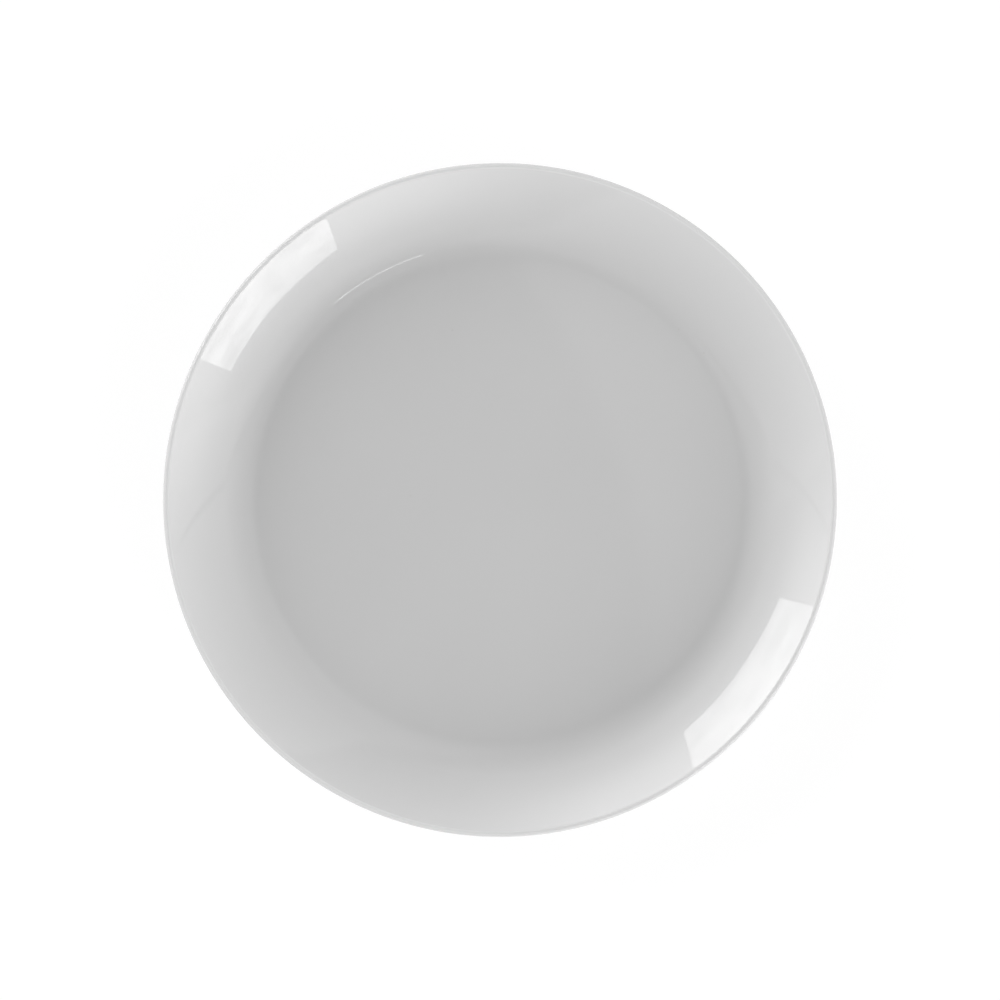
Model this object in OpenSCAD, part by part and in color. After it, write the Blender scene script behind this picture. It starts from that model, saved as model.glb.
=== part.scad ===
// Coupe dinner plate: a wide flat well that turns up into a curved rim with a round lip, on a low foot.
// The section is drawn as the fired clay, drawn again one coat of glaze further out, and turned about Z.
// Z is up and is the axis of the plate, and the foot stands on z = 0. Sizes are in millimetres.

/* [Plate] */
// diameter over the lip, with the glaze
plate_d = 270; // [250:1:300]
// width of the rim with its bend, from the lip in to the flat of the well
rim_w = 37; // [28:0.5:50]
// thickness of the clay under the well
well_t = 5; // [4.4:0.1:7]

/* [Rim] */
// radius of the bend in which the well turns up into the rim
bend_r = 29; // [12:1:45]
// slope of the face where the bend runs out into the rim, in degrees
bend_slope = 29; // [15:0.5:33]
// slope of the face at the lip, in degrees
lip_slope = 37.5; // [33:0.5:48]
// thickness of the clay where the bend runs out into the rim
rim_t = 4.4; // [3.2:0.1:5]
// thickness of the lip, with the glaze
lip_t = 3.1; // [2.2:0.1:4.5]

/* [Foot] */
// how far the outer edge of the bare standing face is in from the edge of the flat well
foot_inset = 13; // [6:0.5:40]
// width of the bare standing face
foot_w = 3.6; // [2:0.1:8]
// height of the clay over the table inside the foot ring
recess_h = 3; // [2.5:0.1:6]
// slant of the foot's two walls from upright, in degrees
foot_slant = 25; // [15:1:40]
// radius of the two edges of the standing face
foot_edge_r = 0.8; // [0.4:0.1:1.2]
// radius of the hollow corners where the foot meets the underside
foot_fillet_r = 2; // [1:0.1:2.4]

/* [Glaze] */
// thickness of the glaze coat
glaze_t = 0.3; // [0.2:0.05:0.5]
// width of the band of bare clay on the foot's walls, between the standing face's edges and the glaze
bare_band = 0.5; // [0.2:0.1:0.6]

/* [Hidden] */
// every sub-part
// the sub-part to draw, or all of them
// most that the straight steps of an arc stand off from the true arc
chord_gap = 0.006;
// steps round the plate
$fn = 180;

// radii of the flat well and of the outer edge of the standing face
well_r = plate_d / 2 - rim_w;
foot_r = well_r - foot_inset;

// heights of the clay: under the well, on the well, and under the bend outside the foot
recess_z = recess_h;
well_z = recess_z + well_t;
under_z = well_z - rim_t;

// bend: its centre, shared by the face and the underside, and the point where the face leaves it
bend_c = [well_r, well_z + bend_r];
bend_end = lean(bend_c, bend_r, bend_slope);

// lip: radius of the clay and how far out its centre is
lip_r = lip_t / 2 - glaze_t;
lip_out = plate_d / 2 - lip_t / 2;

// rim face: the arc that leaves the bend smoothly and runs smoothly on to the lip
rim_r = (lip_out - lip_r * sin(lip_slope) - bend_end[0]) / (sin(lip_slope) - sin(bend_slope));
rim_c = lean(bend_end, rim_r, 180 + bend_slope);
lip_c = [lip_out, rim_c[1] - (rim_r + lip_r) * cos(lip_slope)];

// rim underside: the arc square across from the end of the bend that also touches the lip's circle
under_end = lean(bend_c, bend_r + rim_t, bend_slope);
under_gap = under_end - lip_c;
under_rise = under_gap[1] * cos(bend_slope) - under_gap[0] * sin(bend_slope);
under_r = (lip_r * lip_r - under_gap * under_gap) / (2 * (under_rise + lip_r));
under_c = lean(under_end, under_r, 180 + bend_slope);
under_slope = atan2(lip_c[0] - under_c[0], under_c[1] - lip_c[1]);

// foot: centres of its edges, feet and lengths of its walls, and centres of its hollow corners
edge_out_c = [foot_r, foot_edge_r];
edge_in_c = [foot_r - foot_w, foot_edge_r];
wall_out = lean(edge_out_c, foot_edge_r, 90 - foot_slant);
wall_in = lean(edge_in_c, foot_edge_r, foot_slant - 90);
corner_drop = (foot_edge_r + foot_fillet_r) * (1 - sin(foot_slant));
wall_out_len = (under_z - corner_drop) / cos(foot_slant);
wall_in_len = (recess_z - corner_drop) / cos(foot_slant);
corner_reach = foot_fillet_r * cos(foot_slant);
corner_out_c = [wall_out[0] + wall_out_len * sin(foot_slant) + corner_reach, under_z - foot_fillet_r];
corner_in_c = [wall_in[0] - wall_in_len * sin(foot_slant) - corner_reach, recess_z - foot_fillet_r];

// glaze: where its rounded edge is centred on each wall of the foot
stop_out = lean(wall_out, min(bare_band + glaze_t, wall_out_len), 180 - foot_slant);
stop_in = lean(wall_in, min(bare_band + glaze_t, wall_in_len), 180 + foot_slant);

// point at distance d from c, in the direction a degrees from straight down towards the rim
function lean(c, d, a) = [c[0] + d * sin(a), c[1] - d * cos(a)];

// straight steps that an arc of radius r needs over a turn of so many degrees
function steps(r, turn) = ceil(abs(turn) / (2 * acos(1 - chord_gap / r)));

// points of the arc of radius r about c from direction a to direction b, moved out from c by o
// first is 1 where the arc before has already drawn the first point
function arc(c, r, a, b, o = 0, first = 0) =
    let (n = steps(r, b - a))
    [for (i = [first:n]) lean(c, r + o, a + (b - a) * i / n)];

function reverse(line) = [for (i = [len(line) - 1:-1:0]) line[i]];

// clay surface from the middle of the well over the rim and lip to the foot's outer wall, moved out by o
function face_line(o) = concat(
    [[0, well_z + o]],
    arc(bend_c, bend_r, 0, bend_slope, -o),
    arc(rim_c, rim_r, bend_slope, lip_slope, -o, 1),
    arc(lip_c, lip_r, 180 + lip_slope, under_slope, o, 1),
    arc(under_c, under_r, under_slope, bend_slope, o, 1),
    arc(bend_c, bend_r + rim_t, bend_slope, 0, o, 1),
    arc(corner_out_c, foot_fillet_r, -180, -90 - foot_slant, -o)
);

// clay surface from the foot's inner wall to the middle of the recess, moved out by o
function base_line(o) = concat(
    arc(corner_in_c, foot_fillet_r, 90 + foot_slant, 180, -o),
    [[0, recess_z - o]]
);

// the two rounded edges of the standing face, left bare
function foot_line() = concat(
    arc(edge_out_c, foot_edge_r, 90 - foot_slant, 0),
    arc(edge_in_c, foot_edge_r, 0, foot_slant - 90)
);

// pressed and fired clay: well, rim, lip and foot in one piece
module body() {
    color([0.90, 0.89, 0.87])
    rotate_extrude()
    polygon(concat(face_line(0), foot_line(), base_line(0)));
}

// glaze over the face, round the lip and over the underside, with a rounded edge on the foot's outer wall
module face_glaze() {
    edge = arc(stop_out, glaze_t, 90 - foot_slant, -foot_slant);
    color([0.95, 0.95, 0.95])
    rotate_extrude()
    polygon(concat(face_line(glaze_t), edge, reverse(face_line(0))));
}

// glaze in the recess inside the foot, ending in a rounded edge on the foot's inner wall
module base_glaze() {
    edge = arc(stop_in, glaze_t, foot_slant - 90, foot_slant);
    color([0.95, 0.95, 0.95])
    rotate_extrude()
    polygon(concat(reverse(base_line(glaze_t)), edge, base_line(0)));
}

body();
face_glaze();
base_glaze();
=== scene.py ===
import math
from functools import reduce

import bpy
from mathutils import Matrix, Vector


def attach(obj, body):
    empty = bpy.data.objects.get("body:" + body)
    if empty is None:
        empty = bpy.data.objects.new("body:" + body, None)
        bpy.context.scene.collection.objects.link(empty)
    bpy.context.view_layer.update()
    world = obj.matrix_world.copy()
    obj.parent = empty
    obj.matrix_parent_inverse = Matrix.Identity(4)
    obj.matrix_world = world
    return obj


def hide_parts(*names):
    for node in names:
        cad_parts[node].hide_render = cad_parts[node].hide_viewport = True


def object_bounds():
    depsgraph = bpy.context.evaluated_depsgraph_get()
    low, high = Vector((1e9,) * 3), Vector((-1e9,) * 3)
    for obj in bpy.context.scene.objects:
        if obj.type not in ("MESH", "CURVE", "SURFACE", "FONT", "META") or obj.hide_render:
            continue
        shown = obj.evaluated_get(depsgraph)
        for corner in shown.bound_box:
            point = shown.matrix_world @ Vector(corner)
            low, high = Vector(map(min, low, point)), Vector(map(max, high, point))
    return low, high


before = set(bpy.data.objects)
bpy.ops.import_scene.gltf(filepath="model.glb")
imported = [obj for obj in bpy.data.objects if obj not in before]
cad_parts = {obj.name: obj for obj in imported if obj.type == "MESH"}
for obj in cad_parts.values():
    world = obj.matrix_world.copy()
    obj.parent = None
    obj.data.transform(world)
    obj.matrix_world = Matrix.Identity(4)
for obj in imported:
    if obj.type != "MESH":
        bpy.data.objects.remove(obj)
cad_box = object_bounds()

# Sizes of the plate in metres and slopes in radians, the same values as in the part's source
MM = 0.001
SIZES = {
    "Plate diameter": 270 * MM,
    "Rim width": 37 * MM,
    "Well thickness": 5 * MM,
    "Bend radius": 29 * MM,
    "Bend slope": math.radians(29),
    "Lip slope": math.radians(37.5),
    "Rim thickness": 4.4 * MM,
    "Lip thickness": 3.1 * MM,
    "Foot inset": 13 * MM,
    "Foot width": 3.6 * MM,
    "Recess height": 3 * MM,
    "Foot slant": math.radians(25),
    "Foot edge radius": 0.8 * MM,
    "Foot corner radius": 2 * MM,
    "Glaze thickness": 0.3 * MM,
    "Bare band": 0.5 * MM,
}
LIP_HEIGHT = cad_box[1].z
LIP_RADIUS = SIZES["Plate diameter"] / 2
FOOT_RADIUS = LIP_RADIUS - SIZES["Rim width"] - SIZES["Foot inset"]
QUARTER = math.pi / 2

# Steps round the plate, and points along each stretch of its section
STEPS_ROUND = 256
POINTS = {
    "well": 26,
    "bend": 40,
    "rim": 40,
    "lip": 44,
    "under_rim": 30,
    "under_bend": 24,
    "under_flat": 6,
    "foot_corner": 14,
    "foot_wall": 4,
    "foot_edge": 10,
    "standing_face": 6,
    "recess": 20,
    "glazed_wall": 3,
    "glaze_edge": 8,
    "glaze_back": 2,
}
# Shares of those points on the lines that the glaze hides
CLAY_FACE_SHARE = 0.4
COAT_BACK_SHARE = 0.3
RECESS_SHARE = 0.5

# Edges that turn more than this stay sharp, and points nearer than this are one
SHARP_TURN = math.radians(40)
SAME_POINT = 0.001 * MM


# Arithmetic in a node tree: a Num stands for a socket, and a formula with it adds Math nodes

class Num:
    def __init__(self, tree, socket):
        self.tree, self.socket = tree, socket

    def math(self, operation, *others):
        node = self.tree.nodes.new("ShaderNodeMath")
        node.operation = operation
        for slot, value in zip(node.inputs, (self, *others)):
            if isinstance(value, Num):
                self.tree.links.new(value.socket, slot)
            else:
                slot.default_value = value
        return Num(self.tree, node.outputs[0])

    def __add__(self, other):
        return self.math("ADD", other)

    def __sub__(self, other):
        return self.math("SUBTRACT", other)

    def __mul__(self, other):
        return self.math("MULTIPLY", other)

    def __truediv__(self, other):
        return self.math("DIVIDE", other)

    def __neg__(self):
        return self.math("MULTIPLY", -1.0)

    def __abs__(self):
        return self.math("ABSOLUTE")

    def __radd__(self, other):
        return self + other

    def __rsub__(self, other):
        return -self + other


def sine(angle):
    return angle.math("SINE")


def cosine(angle):
    return angle.math("COSINE")


def larger(first, second):
    return first.math("MAXIMUM", second)


def smaller(first, second):
    return first.math("MINIMUM", second)


def lean(centre, distance, angle):
    """Point at a distance from a centre, in a direction so far from straight down towards the rim."""
    return centre[0] + distance * sine(angle), centre[1] - distance * cosine(angle)


# The section of the plate, as stretches of (number of points, place along the stretch from 0 to 1)

def spot(place):
    return 1, lambda u: place


def run(count, start, end):
    return count, lambda u: tuple(a + (b - a) * u for a, b in zip(start, end))


def arc(count, centre, radius, start, end):
    return count, lambda u: lean(centre, radius, (end - start) * u + start)


def turned_back(stretches):
    """The same stretches drawn from their far end to their near end."""
    return [(count, lambda u, place=place: place(1.0 - u)) for count, place in reversed(stretches)]


def counts(share):
    """Points along each stretch of a line that gets this share of them, at least two."""
    return {stretch: max(2, round(number * share)) for stretch, number in POINTS.items()}


class Section:
    """Centres, radii and corners of the section, worked out from the named sizes."""

    def __init__(self, size):
        self.glaze = size["Glaze thickness"]
        self.slant = size["Foot slant"]
        self.bend_slope, self.lip_slope = size["Bend slope"], size["Lip slope"]
        self.bend_r, self.rim_t = size["Bend radius"], size["Rim thickness"]
        well_r = size["Plate diameter"] / 2 - size["Rim width"]
        foot_r = well_r - size["Foot inset"]
        self.recess_z = size["Recess height"]
        self.well_z = self.recess_z + size["Well thickness"]
        self.under_z = self.well_z - self.rim_t
        # nought as a Num: the axis of the plate, the height of the table and straight down
        self.zero = self.glaze * 0.0

        # the bend, the rim's face that leaves it smoothly, and the lip that the face runs on to
        self.bend_c = well_r, self.well_z + self.bend_r
        bend_end = lean(self.bend_c, self.bend_r, self.bend_slope)
        self.lip_r = size["Lip thickness"] / 2 - self.glaze
        lip_out = (size["Plate diameter"] - size["Lip thickness"]) / 2
        self.rim_r = (lip_out - self.lip_r * sine(self.lip_slope) - bend_end[0]) / (
            sine(self.lip_slope) - sine(self.bend_slope))
        self.rim_c = lean(bend_end, self.rim_r, self.bend_slope + math.pi)
        self.lip_c = lip_out, self.rim_c[1] - (self.rim_r + self.lip_r) * cosine(self.lip_slope)

        # the rim's underside: square across from the end of the bend, and touching the lip's circle
        under_end = lean(self.bend_c, self.bend_r + self.rim_t, self.bend_slope)
        gap = under_end[0] - self.lip_c[0], under_end[1] - self.lip_c[1]
        rise = gap[1] * cosine(self.bend_slope) - gap[0] * sine(self.bend_slope)
        self.under_r = (self.lip_r * self.lip_r - gap[0] * gap[0] - gap[1] * gap[1]) / (
            (rise + self.lip_r) * 2.0)
        self.under_c = lean(under_end, self.under_r, self.bend_slope + math.pi)
        self.under_slope = (self.lip_c[0] - self.under_c[0]).math(
            "ARCTAN2", self.under_c[1] - self.lip_c[1])

        # the foot's edges, its walls between feet and tops, its hollow corners, and where the glaze stops
        self.edge_r, self.corner_r = size["Foot edge radius"], size["Foot corner radius"]
        self.edge_out_c = foot_r, self.edge_r
        self.edge_in_c = foot_r - size["Foot width"], self.edge_r
        self.wall_out = lean(self.edge_out_c, self.edge_r, QUARTER - self.slant)
        self.wall_in = lean(self.edge_in_c, self.edge_r, self.slant - QUARTER)
        drop = (self.edge_r + self.corner_r) * (1.0 - sine(self.slant))
        out_len = (self.under_z - drop) / cosine(self.slant)
        in_len = (self.recess_z - drop) / cosine(self.slant)
        reach = self.corner_r * cosine(self.slant)
        self.corner_out_c = (self.wall_out[0] + out_len * sine(self.slant) + reach,
                             self.under_z - self.corner_r)
        self.corner_in_c = (self.wall_in[0] - in_len * sine(self.slant) - reach,
                            self.recess_z - self.corner_r)
        stop = size["Bare band"] + self.glaze
        self.stop_out = lean(self.wall_out, smaller(stop, out_len), math.pi - self.slant)
        self.stop_in = lean(self.wall_in, smaller(stop, in_len), self.slant + math.pi)
        # directions from the centres of the hollow corners to the walls
        self.to_wall_out, self.to_wall_in = -self.slant - QUARTER, self.slant + QUARTER

    def wall_out_top(self, out):
        """Top of the foot's outer wall, moved out from the clay."""
        return lean(self.corner_out_c, self.corner_r - out, self.to_wall_out)

    def wall_in_top(self, out):
        """Top of the foot's inner wall, moved out from the clay."""
        return lean(self.corner_in_c, self.corner_r - out, self.to_wall_in)

    def face(self, out, share):
        """From the middle of the well over the rim and lip to the top of the foot's outer wall."""
        count = counts(share)
        middle = self.zero, self.well_z + out
        well_edge = self.bend_c[0], self.well_z + out
        flat_start = self.bend_c[0], self.under_z - out
        flat_end = self.corner_out_c[0], self.under_z - out
        under_bend_r = self.bend_r + self.rim_t + out
        corner_r = self.corner_r - out
        return [
            spot(middle),
            run(count["well"], middle, well_edge),
            arc(count["bend"], self.bend_c, self.bend_r - out, self.zero, self.bend_slope),
            arc(count["rim"], self.rim_c, self.rim_r - out, self.bend_slope, self.lip_slope),
            arc(count["lip"], self.lip_c, self.lip_r + out, self.lip_slope + math.pi, self.under_slope),
            arc(count["under_rim"], self.under_c, self.under_r + out, self.under_slope, self.bend_slope),
            arc(count["under_bend"], self.bend_c, under_bend_r, self.bend_slope, self.zero),
            run(count["under_flat"], flat_start, flat_end),
            arc(count["foot_corner"], self.corner_out_c, corner_r, self.zero - math.pi, self.to_wall_out),
        ]

    def base(self, out, share):
        """From the top of the foot's inner wall to the middle of the recess."""
        count = counts(share)
        corner_r = self.corner_r - out
        corner_top = self.corner_in_c[0], self.recess_z - out
        return [
            arc(count["foot_corner"], self.corner_in_c, corner_r, self.to_wall_in, self.zero + math.pi),
            run(count["recess"], corner_top, (self.zero, self.recess_z - out)),
        ]


def body_outline(s):
    return [
        *s.face(s.zero, CLAY_FACE_SHARE),
        run(POINTS["foot_wall"], s.wall_out_top(s.zero), s.wall_out),
        arc(POINTS["foot_edge"], s.edge_out_c, s.edge_r, QUARTER - s.slant, s.zero),
        run(POINTS["standing_face"], (s.edge_out_c[0], s.zero), (s.edge_in_c[0], s.zero)),
        arc(POINTS["foot_edge"], s.edge_in_c, s.edge_r, s.zero, s.slant - QUARTER),
        run(POINTS["foot_wall"], s.wall_in, s.wall_in_top(s.zero)),
        *s.base(s.zero, RECESS_SHARE),
    ]


def face_glaze_outline(s):
    outer_end = lean(s.stop_out, s.glaze, QUARTER - s.slant)
    inner_end = lean(s.stop_out, s.glaze, -s.slant)
    return [
        *s.face(s.glaze, 1.0),
        run(POINTS["glazed_wall"], s.wall_out_top(s.glaze), outer_end),
        arc(POINTS["glaze_edge"], s.stop_out, s.glaze, QUARTER - s.slant, -s.slant),
        run(POINTS["glaze_back"], inner_end, s.wall_out_top(s.zero)),
        *turned_back(s.face(s.zero, COAT_BACK_SHARE)),
    ]


def base_glaze_outline(s):
    outer_end = lean(s.stop_in, s.glaze, s.slant - QUARTER)
    inner_end = lean(s.stop_in, s.glaze, s.slant)
    return [
        spot((s.zero, s.recess_z)),
        *turned_back(s.base(s.zero, RECESS_SHARE)),
        run(POINTS["glaze_back"], s.wall_in_top(s.zero), inner_end),
        arc(POINTS["glaze_edge"], s.stop_in, s.glaze, s.slant, s.slant - QUARTER),
        run(POINTS["glazed_wall"], outer_end, s.wall_in_top(s.glaze)),
        *s.base(s.glaze, 1.0),
    ]


# The tree that draws a section from its named sizes and turns it about the axis of the plate

def outline_row(tree, index, stretches):
    """Points along every stretch, sorted into the order of the outline."""
    node, link = tree.nodes.new, tree.links.new
    joined = node("GeometryNodeJoinGeometry")
    for number, (count, place) in enumerate(stretches):
        along = (index + 1.0) / count
        radius, height = place(along)
        position = node("ShaderNodeCombineXYZ")
        link(radius.socket, position.inputs["X"])
        link(height.socket, position.inputs["Z"])
        points = node("GeometryNodePoints")
        points.inputs["Count"].default_value = count
        link(position.outputs[0], points.inputs["Position"])
        stored = node("GeometryNodeStoreNamedAttribute")
        stored.data_type, stored.domain = "FLOAT", "POINT"
        stored.inputs["Name"].default_value = "order"
        link((along + float(number)).socket, stored.inputs["Value"])
        link(points.outputs[0], stored.inputs["Geometry"])
        link(stored.outputs[0], joined.inputs[0])
    order = node("GeometryNodeInputNamedAttribute")
    order.data_type = "FLOAT"
    order.inputs["Name"].default_value = "order"
    row = node("GeometryNodeSortElements")
    row.domain = "POINT"
    link(joined.outputs[0], row.inputs["Geometry"])
    link(order.outputs["Attribute"], row.inputs["Sort Weight"])
    return row.outputs[0]


def turned_row(tree, index, row, steps):
    """A grid with one line of points for each point of the row, bent round the axis and closed."""
    node, link = tree.nodes.new, tree.links.new
    counted = node("GeometryNodeAttributeDomainSize")
    counted.component = "POINTCLOUD"
    link(row, counted.inputs[0])
    lines = steps + 1.0
    grid = node("GeometryNodeMeshGrid")
    link(counted.outputs["Point Count"], grid.inputs["Vertices X"])
    link(lines.socket, grid.inputs["Vertices Y"])
    step = index.math("FLOORED_MODULO", lines)
    sample = node("GeometryNodeSampleIndex")
    sample.data_type, sample.domain = "FLOAT_VECTOR", "POINT"
    link(row, sample.inputs["Geometry"])
    link(node("GeometryNodeInputPosition").outputs[0], sample.inputs["Value"])
    link(((index - step) / lines).socket, sample.inputs["Index"])
    split = node("ShaderNodeSeparateXYZ")
    link(sample.outputs[0], split.inputs[0])
    radius = Num(tree, split.outputs["X"])
    angle = step / steps * (2 * math.pi)
    position = node("ShaderNodeCombineXYZ")
    link((radius * cosine(angle)).socket, position.inputs["X"])
    link((radius * sine(angle)).socket, position.inputs["Y"])
    link(split.outputs["Z"], position.inputs["Z"])
    bent = node("GeometryNodeSetPosition")
    link(grid.outputs["Mesh"], bent.inputs["Geometry"])
    link(position.outputs[0], bent.inputs["Position"])
    closed = node("GeometryNodeMergeByDistance")
    closed.inputs["Distance"].default_value = SAME_POINT
    link(bent.outputs[0], closed.inputs["Geometry"])
    return closed.outputs[0]


def smoothed(tree, mesh):
    """Every face smooth, but the edges sharp where a coat of glaze ends."""
    node, link = tree.nodes.new, tree.links.new
    faces = node("GeometryNodeSetShadeSmooth")
    faces.domain = "FACE"
    link(mesh, faces.inputs["Geometry"])
    gentle = node("FunctionNodeCompare")
    gentle.data_type, gentle.operation = "FLOAT", "LESS_THAN"
    link(node("GeometryNodeInputMeshEdgeAngle").outputs["Unsigned Angle"], gentle.inputs[0])
    gentle.inputs[1].default_value = SHARP_TURN
    edges = node("GeometryNodeSetShadeSmooth")
    edges.domain = "EDGE"
    link(faces.outputs[0], edges.inputs["Geometry"])
    link(gentle.outputs[0], edges.inputs["Shade Smooth"])
    return edges.outputs[0]


def turning_tree(name, outline):
    tree = bpy.data.node_groups.new(name, "GeometryNodeTree")
    sockets = tree.interface
    sockets.new_socket("Geometry", in_out="INPUT", socket_type="NodeSocketGeometry")
    for size_name in SIZES:
        sockets.new_socket(size_name, in_out="INPUT", socket_type="NodeSocketFloat")
    sockets.new_socket("Steps round", in_out="INPUT", socket_type="NodeSocketInt")
    sockets.new_socket("Finish", in_out="INPUT", socket_type="NodeSocketMaterial")
    sockets.new_socket("Geometry", in_out="OUTPUT", socket_type="NodeSocketGeometry")
    node, link = tree.nodes.new, tree.links.new
    given = node("NodeGroupInput").outputs
    index = Num(tree, node("GeometryNodeInputIndex").outputs[0])
    section = Section({size_name: Num(tree, given[size_name]) for size_name in SIZES})
    row = outline_row(tree, index, outline(section))
    mesh = turned_row(tree, index, row, Num(tree, given["Steps round"]))
    realized = node("GeometryNodeRealizeInstances")
    link(smoothed(tree, mesh), realized.inputs[0])
    finished = node("GeometryNodeSetMaterial")
    link(realized.outputs[0], finished.inputs["Geometry"])
    link(given["Finish"], finished.inputs["Material"])
    link(finished.outputs[0], node("NodeGroupOutput").inputs[0])
    return tree


def turned_piece(name, outline, finish):
    """A plain mesh of one piece of the plate, made by its own turning tree."""
    piece = bpy.data.objects.new(name, bpy.data.meshes.new(name))
    bpy.context.scene.collection.objects.link(piece)
    tree = turning_tree(name + "_turning", outline)
    turning = piece.modifiers.new("Turning", "NODES")
    turning.node_group = tree
    values = {**SIZES, "Steps round": STEPS_ROUND, "Finish": finish}
    for item in tree.interface.items_tree:
        if item.in_out == "INPUT" and item.name in values:
            turning[item.identifier] = values[item.name]
    made = bpy.data.meshes.new_from_object(piece.evaluated_get(bpy.context.evaluated_depsgraph_get()))
    piece.modifiers.remove(turning)
    piece.data = made
    made.name = name
    return piece


# Finishes: the mean and the usual span of a noise, shares of a mix, and the refraction of glaze and clay
NOISE_MEAN = 0.5
NOISE_SPAN = 0.3, 0.7
NONE_TO_ALL = 0.0, 1.0
ALL_TO_NONE = 1.0, 0.0
CERAMIC_IOR = 1.5


def material(name):
    m = bpy.data.materials.new(name)
    m.use_nodes = True
    return m, m.node_tree, m.node_tree.nodes["Principled BSDF"]


def grey(level):
    return level, level, level


def noise(tree, place, scale, detail, roughness=0.5):
    n = tree.nodes.new("ShaderNodeTexNoise")
    n.inputs["Scale"].default_value = scale
    n.inputs["Detail"].default_value = detail
    n.inputs["Roughness"].default_value = roughness
    tree.links.new(place, n.inputs["Vector"])
    return n.outputs["Fac"]


def mapped(tree, value, span, to_span, easing="LINEAR"):
    """A value carried over from one span to another, and held at the ends."""
    n = tree.nodes.new("ShaderNodeMapRange")
    n.interpolation_type = easing
    for name, number in zip(("From Min", "From Max", "To Min", "To Max"), (*span, *to_span)):
        n.inputs[name].default_value = number
    tree.links.new(value, n.inputs["Value"])
    return n.outputs["Result"]


def mixed(tree, share, first, second):
    """A colour between two colours; the first may come from another node."""
    n = tree.nodes.new("ShaderNodeMix")
    n.data_type = "RGBA"
    if isinstance(first, tuple):
        n.inputs["A"].default_value = (*first, 1)
    else:
        tree.links.new(first, n.inputs["A"])
    n.inputs["B"].default_value = (*second, 1)
    tree.links.new(share, n.inputs["Factor"])
    return n.outputs["Result"]


def bumped(tree, height, depth, under=None):
    """A bump of so many metres for a height of 1, over another bump where one is given."""
    n = tree.nodes.new("ShaderNodeBump")
    n.inputs["Strength"].default_value = 1.0
    n.inputs["Distance"].default_value = depth
    tree.links.new(height, n.inputs["Height"])
    if under is not None:
        tree.links.new(under, n.inputs["Normal"])
    return n.outputs["Normal"]


def white_glaze():
    cloud_tones = grey(0.735), grey(0.75)
    # a lighter white painted along the crest of the lip as a highlight
    painted_crest_highlight = grey(0.84)
    speck_colour = 0.62, 0.61, 0.59
    speck_scale, speck_edge = 45.0, (0.006, 0.014)
    crest_band = LIP_HEIGHT - 0.3 * MM, LIP_HEIGHT - 0.1 * MM
    gloss = 0.012, 0.022
    wave_depth, peel_depth = 0.1 * MM, 0.0012 * MM
    wavy_band, waviness = (0.4 * LIP_HEIGHT, LIP_HEIGHT), (0.2, 1.0)

    m, tree, shader = material("white_glaze")
    link = tree.links.new
    place = tree.nodes.new("ShaderNodeTexCoord").outputs["Object"]
    split = tree.nodes.new("ShaderNodeSeparateXYZ")
    link(place, split.inputs[0])
    height = split.outputs["Z"]
    # tone of the white: clouds too faint to name, and a very few fine specks in the glaze
    cloud = mapped(tree, noise(tree, place, scale=14.0, detail=3.0), NOISE_SPAN, NONE_TO_ALL)
    white = mixed(tree, cloud, *cloud_tones)
    dots = tree.nodes.new("ShaderNodeTexVoronoi")
    dots.inputs["Scale"].default_value = speck_scale
    link(place, dots.inputs["Vector"])
    speck = mapped(tree, dots.outputs["Distance"], speck_edge, ALL_TO_NONE)
    white = mixed(tree, speck, white, speck_colour)
    # painted highlight: the white is made lighter along the crest of the lip, where it would otherwise show
    # as a dark line
    crest = mapped(tree, height, crest_band, NONE_TO_ALL)
    link(mixed(tree, crest, white, painted_crest_highlight), shader.inputs["Base Color"])
    shader.inputs["IOR"].default_value = CERAMIC_IOR
    sheen = mapped(tree, noise(tree, place, scale=30.0, detail=4.0), NOISE_SPAN, gloss)
    link(sheen, shader.inputs["Roughness"])
    # waves in the coat, slight on the flat well and stronger towards the lip, under a fine orange peel
    wave = Num(tree, noise(tree, place, scale=30.0, detail=0.0)) - NOISE_MEAN
    rise = Num(tree, mapped(tree, height, wavy_band, waviness))
    waves = bumped(tree, (wave * rise).socket, wave_depth)
    peel = bumped(tree, noise(tree, place, scale=420.0, detail=1.0), peel_depth, waves)
    link(peel, shader.inputs["Normal"])
    return m


def bare_clay():
    clay_tones = (0.66, 0.64, 0.605), (0.75, 0.735, 0.71)
    mattness = 0.7, 0.9
    grain_depth = 0.04 * MM

    m, tree, shader = material("bare_clay")
    link = tree.links.new
    place = tree.nodes.new("ShaderNodeTexCoord").outputs["Object"]
    cloud = mapped(tree, noise(tree, place, scale=90.0, detail=5.0), NOISE_SPAN, NONE_TO_ALL)
    link(mixed(tree, cloud, *clay_tones), shader.inputs["Base Color"])
    shader.inputs["IOR"].default_value = CERAMIC_IOR
    matt = mapped(tree, noise(tree, place, scale=600.0, detail=3.0), NOISE_SPAN, mattness)
    link(matt, shader.inputs["Roughness"])
    grain = bumped(tree, noise(tree, place, scale=2600.0, detail=3.0, roughness=0.65), grain_depth)
    link(grain, shader.inputs["Normal"])
    return m


# The plate

GLAZE, CLAY = white_glaze(), bare_clay()
for node_name, outline, finish, slot in (
    ("body", body_outline, CLAY, "biscuit"),
    ("face_glaze", face_glaze_outline, GLAZE, "glaze"),
    ("base_glaze", base_glaze_outline, GLAZE, "glaze"),
):
    piece = turned_piece("plate_" + node_name, outline, finish)
    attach(piece, "root")
    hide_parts(node_name)


# Studio: a white table, two softboxes standing low beside it and a pale room

# Table: its size, how far it is below the foot so that the two faces do not lie in one plane, its paint
# as light falls on it and as it is seen, and its glow as it is seen and under the plate
TABLE_RADIUS = 12.0
TABLE_SIDES = 96
TABLE_DROP = 0.05 * MM
TABLE_PAINT = grey(0.3)
SEEN_PAINT = grey(0.15)
SEEN_GLOW = 0.905
UNDER_GLOW = 0.4


def ray_kind(tree, path, *kinds):
    """1 where the ray is of one of the kinds, and 0 elsewhere."""
    return reduce(larger, (Num(tree, path.outputs[f"Is {kind} Ray"]) for kind in kinds))


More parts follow.
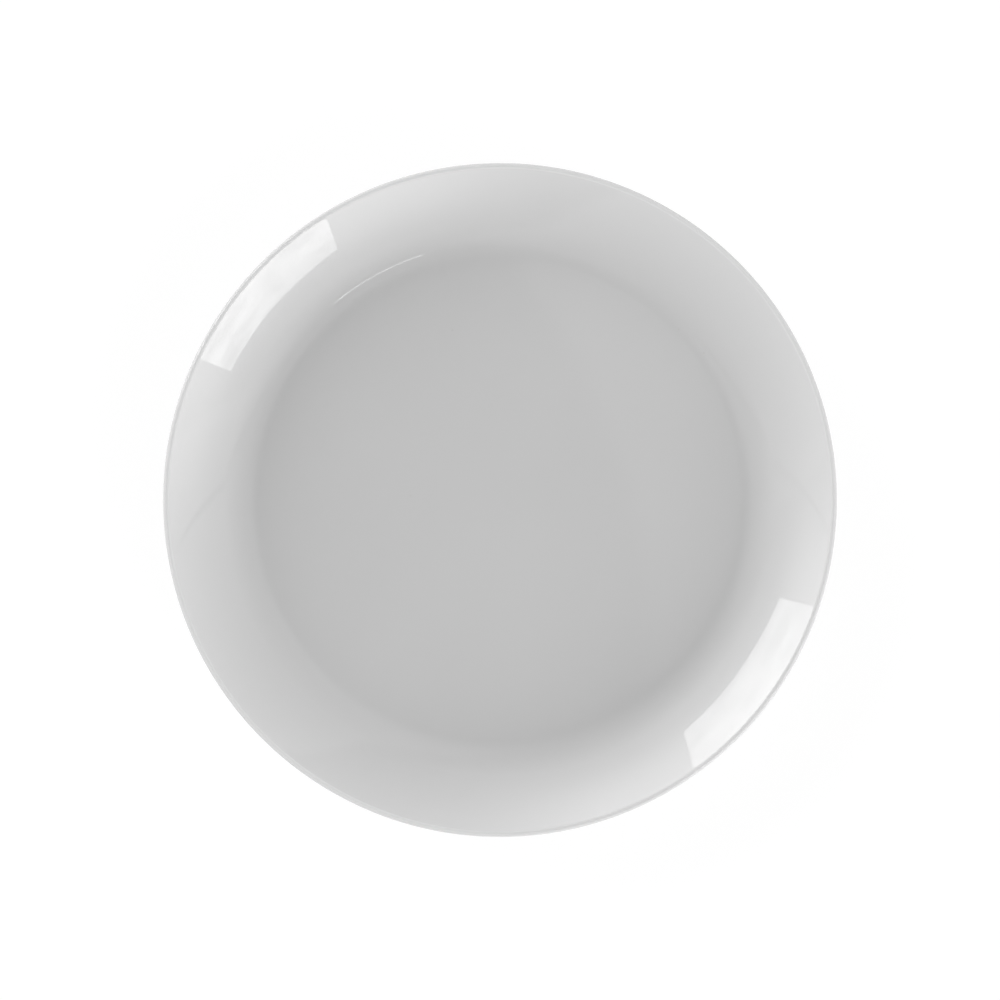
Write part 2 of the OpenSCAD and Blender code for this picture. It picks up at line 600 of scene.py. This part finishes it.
def table_white():
    m = bpy.data.materials.new("table_white")
    m.use_nodes = True
    m.cycles.emission_sampling = "NONE"
    tree = m.node_tree
    tree.nodes.clear()
    node, link = tree.nodes.new, tree.links.new
    # white to the camera and in reflections, with the plate's shadow still on it
    path = node("ShaderNodeLightPath")
    seen = ray_kind(tree, path, "Camera", "Glossy", "Transmission")
    paint = node("ShaderNodeBsdfDiffuse")
    link(mixed(tree, seen.socket, TABLE_PAINT, SEEN_PAINT), paint.inputs["Color"])
    # a soft glow under the plate, strongest within the foot ring, which lights the underside alone
    split = node("ShaderNodeSeparateXYZ")
    link(node("ShaderNodeTexCoord").outputs["Object"], split.inputs[0])
    x, y = Num(tree, split.outputs["X"]), Num(tree, split.outputs["Y"])
    radius = (x * x + y * y).math("SQRT")
    under = Num(tree, mapped(tree, radius.socket, (FOOT_RADIUS, LIP_RADIUS), ALL_TO_NONE))
    lit = under * ray_kind(tree, path, "Diffuse")
    glow = node("ShaderNodeEmission")
    link((seen * SEEN_GLOW + lit * UNDER_GLOW).socket, glow.inputs["Strength"])
    both = node("ShaderNodeAddShader")
    link(paint.outputs[0], both.inputs[0])
    link(glow.outputs[0], both.inputs[1])
    # open from below, so that the foot can be looked at
    below = node("ShaderNodeMixShader")
    link(node("ShaderNodeNewGeometry").outputs["Backfacing"], below.inputs["Fac"])
    link(both.outputs[0], below.inputs[1])
    link(node("ShaderNodeBsdfTransparent").outputs[0], below.inputs[2])
    link(below.outputs[0], node("ShaderNodeOutputMaterial").inputs["Surface"])
    return m


def table_top():
    turns = [2 * math.pi * k / TABLE_SIDES for k in range(TABLE_SIDES)]
    edge = [(TABLE_RADIUS * math.cos(turn), TABLE_RADIUS * math.sin(turn), 0.0) for turn in turns]
    mesh = bpy.data.meshes.new("table_top")
    mesh.from_pydata(edge, [], [list(range(TABLE_SIDES))])
    mesh.materials.append(table_white())
    table = bpy.data.objects.new("table_top", mesh)
    table.location.z = -TABLE_DROP
    bpy.context.scene.collection.objects.link(table)


# Radiance of each part of the room, where 1 is white
ROOM = {
    "softbox_back": 3.25,
    "softbox_front": 3.6,
    "side_boards": 4.0,
    "end_walls": 1.25,
    "spill_back": 1.55,
    "spill_front": 1.32,
    "ceiling_right": 0.5,
    "ceiling_left": 0.42,
    "ceiling_lamp": 0.39,
    "fitting": 5.5,
    "air": 0.09,
}
# Elevations in degrees at which each part of the room is gone and at which it is full
FADES = {
    "side_boards": (12, 4),
    "end_walls": (25, 15),
    "wall_top": (38, 28),
    "wall_foot": (2, 10),
    "ceiling_lamp": (76, 82),
    "boom": (20, 26),
    "above_table": (-2, -1),
    "plain_mirror": (22, 17),
}


class Sky:
    """Directions out of the scene, and the shapes that the room has in them.

    A shape is 1 inside and 0 outside. Azimuths are in degrees from +X towards +Y, and elevations in
    degrees up. Places on the ceiling are measured from overhead, with the height of the ceiling as 1.
    """

    def __init__(self, tree):
        self.tree = tree
        self.way = tree.nodes.new("ShaderNodeTexCoord").outputs["Generated"]
        split = tree.nodes.new("ShaderNodeSeparateXYZ")
        tree.links.new(self.way, split.inputs[0])
        self.x, self.y, self.z = (Num(tree, part) for part in split.outputs)
        self.elevation = self.z.math("ARCSINE").math("DEGREES")
        # held over nought, so that places on the ceiling stay finite
        least_up = 0.02
        self.up = larger(self.z, least_up)
        self.east, self.south = self.x / self.up, -(self.y / self.up)

    def ramp(self, value, none, full):
        """0 at one number and beyond, 1 at the other and beyond, eased between."""
        to_span = NONE_TO_ALL if none < full else ALL_TO_NONE
        return Num(self.tree, mapped(self.tree, value.socket, sorted((none, full)), to_span, "SMOOTHSTEP"))

    def within(self, value, limit, edge):
        """1 where the value is under the limit, with an edge so soft to either side of it."""
        return self.ramp(value, limit + edge, limit - edge)

    def fade(self, name):
        return self.ramp(self.elevation, *FADES[name])

    def turned(self, azimuth):
        """Parts of the direction towards an azimuth and a quarter turn on from it."""
        a = math.radians(azimuth)
        return self.x * math.cos(a) + self.y * math.sin(a), self.y * math.cos(a) - self.x * math.sin(a)

    def overhead(self, azimuth):
        """Place on the ceiling, towards an azimuth and a quarter turn on from it."""
        ahead, aside = self.turned(azimuth)
        return ahead / self.up, aside / self.up

    def off(self, azimuth):
        """Degrees round from an azimuth."""
        ahead, aside = self.turned(azimuth)
        return aside.math("ARCTAN2", ahead).math("DEGREES")

    def folds(self):
        """Uneven brightness of a softbox's cloth, with creases that lie level."""
        flattened = 3.0
        stretched = self.tree.nodes.new("ShaderNodeMapping")
        stretched.inputs["Scale"].default_value = (1.0, 1.0, flattened)
        self.tree.links.new(self.way, stretched.inputs["Vector"])
        uneven = noise(self.tree, stretched.outputs[0], scale=6.0, detail=3.0, roughness=0.6)
        return Num(self.tree, uneven) / NOISE_MEAN

    def softbox(self, azimuth, before, after, before_spread, after_spread, top, sag):
        """A panel up from the horizon, with its ends so many degrees before and after an azimuth.

        Each end spreads by so much for every degree down, and the top sags away from the middle.
        """
        ends_given_at, spread_stops_at = 31.3, 18.0
        end_edge, top_edge = 0.15, 0.2
        cut_starts_at, cut_depth, cut_rate = 24.0, 2.5, 0.35
        offset = self.off(azimuth)
        drop = ends_given_at - larger(self.elevation, spread_stops_at)
        # the lower corner of the end before the azimuth is cut back in a curve
        cut = smaller(larger(cut_starts_at - self.elevation, 0.0), cut_depth)
        first_end = cut * cut * cut_rate - offset - drop * before_spread
        second_end = offset - drop * after_spread
        across = self.within(first_end, before, end_edge) * self.within(second_end, after, end_edge)
        return across * self.within(self.elevation + offset * offset * sag, top, top_edge)

    def spill(self, azimuth):
        """The light that a softbox throws on the wall round it."""
        none, full = 56.0, 24.0
        return self.ramp(abs(self.off(azimuth)), none, full) * self.fade("wall_top") * self.fade("wall_foot")

    def beside(self, azimuth):
        """0 along the line of an azimuth and 1 square across it, at any elevation."""
        smallest = 1e-4
        across = self.turned(azimuth)[1]
        return across * across / larger(1.0 - self.z * self.z, smallest)

    def half_ceiling(self, azimuth):
        """The half of the ceiling that lies towards an azimuth."""
        none, full = 0.10, 0.22
        return self.ramp(self.overhead(azimuth)[0], none, full)

    def hood(self, azimuth, start, slope, curl):
        """The part of the ceiling that a dark hood covers, from its start towards an azimuth."""
        widest, edge = 2.2, 0.03
        ahead, aside = self.overhead(azimuth)
        across = smaller(abs(aside), widest)
        return 1.0 - self.within(ahead - across * slope - across * across * curl, start, edge)

    def boom(self):
        """The arm that carries the camera: nearly straight overhead, with ends that droop."""
        start, slope, straight_to, droop_slope, droop_curl = 0.195, 0.04, 0.9, 0.17, 0.14
        half_width, edge = 0.019, 0.007
        out = larger(abs(self.east) - straight_to, 0.0)
        line = start - self.east * slope - out * droop_slope - out * out * droop_curl
        return self.within(abs(self.south - line), half_width, edge)

    def fitting(self):
        """A small bright fitting beside the boom."""
        azimuth, distance, slope = -61.0, 0.368, 0.1
        half_width, width_edge = 0.0115, 0.0035
        half_length, length_edge = 0.073, 0.005
        ahead, aside = self.overhead(azimuth)
        across = self.within(abs(ahead - aside * slope - distance), half_width, width_edge)
        return across * self.within(abs(aside), half_length, length_edge)

    def ceiling_lamp(self):
        """The lit part of the ceiling overhead, east of a curved edge."""
        slope, curl = 0.25, 2.6
        none, full = 0.05, 0.064
        edge = self.south * slope - self.south * self.south * curl
        return self.ramp(self.east - edge, none, full) * self.fade("ceiling_lamp")


def room():
    world = bpy.data.worlds.new("pale_room")
    bpy.context.scene.world = world
    world.use_nodes = True
    tree = world.node_tree
    back = tree.nodes["Background"]
    back.inputs["Color"].default_value = (1, 1, 1, 1)
    sky = Sky(tree)
    cloth = sky.folds()
    box_back = sky.softbox(azimuth=144.0, before=16.0, after=16.75, before_spread=0.25, after_spread=0.07,
                           top=33.6, sag=0.0024)
    box_front = sky.softbox(azimuth=-41.5, before=15.75, after=16.0, before_spread=0.145,
                            after_spread=0.036, top=32.65, sag=0.0015)
    hood_back = sky.hood(azimuth=119.4, start=0.20, slope=0.56, curl=-0.13)
    hood_front = sky.hood(azimuth=-61.0, start=0.50, slope=0.72, curl=-0.10)
    pale = (1.0 - hood_back) * (1.0 - hood_front)
    beside = sky.beside(azimuth=141.0)
    shapes = {
        "softbox_back": box_back * cloth,
        "softbox_front": box_front * cloth,
        "side_boards": sky.fade("side_boards") * beside,
        "end_walls": sky.fade("end_walls") * (1.0 - beside),
        "spill_back": sky.spill(azimuth=138.0),
        "spill_front": sky.spill(azimuth=-45.0),
        "ceiling_right": pale * sky.half_ceiling(azimuth=30.0),
        "ceiling_left": pale * sky.half_ceiling(azimuth=210.0),
        "ceiling_lamp": sky.ceiling_lamp(),
        "fitting": sky.fitting(),
    }
    strength = sum(shape * ROOM[name] for name, shape in shapes.items()) + ROOM["air"]
    clear = 1.0 - sky.boom() * sky.fade("boom")
    lit = strength * clear * sky.fade("above_table")
    # plain white to the camera, and in mirror images lower than the photograph shows any
    path = tree.nodes.new("ShaderNodeLightPath")
    mirrored = ray_kind(tree, path, "Glossy", "Transmission")
    plain = larger(ray_kind(tree, path, "Camera"), mirrored * sky.fade("plain_mirror"))
    tree.links.new((lit + plain * (1.0 - lit)).socket, back.inputs["Strength"])


table_top()
room()

# Camera: straight above the plate, with so many metres across the picture at the height of the lip
LENS = 85
SENSOR = 36
PICTURE_WIDTH = 0.4
scene = bpy.context.scene
scene.view_settings.view_transform = "Standard"
camera = bpy.data.objects.new("camera", bpy.data.cameras.new("camera"))
camera.data.lens = LENS
camera.data.sensor_width = SENSOR
camera.location = (0.0, 0.0, LIP_HEIGHT + PICTURE_WIDTH * LENS / SENSOR)
scene.collection.objects.link(camera)
scene.camera = camera
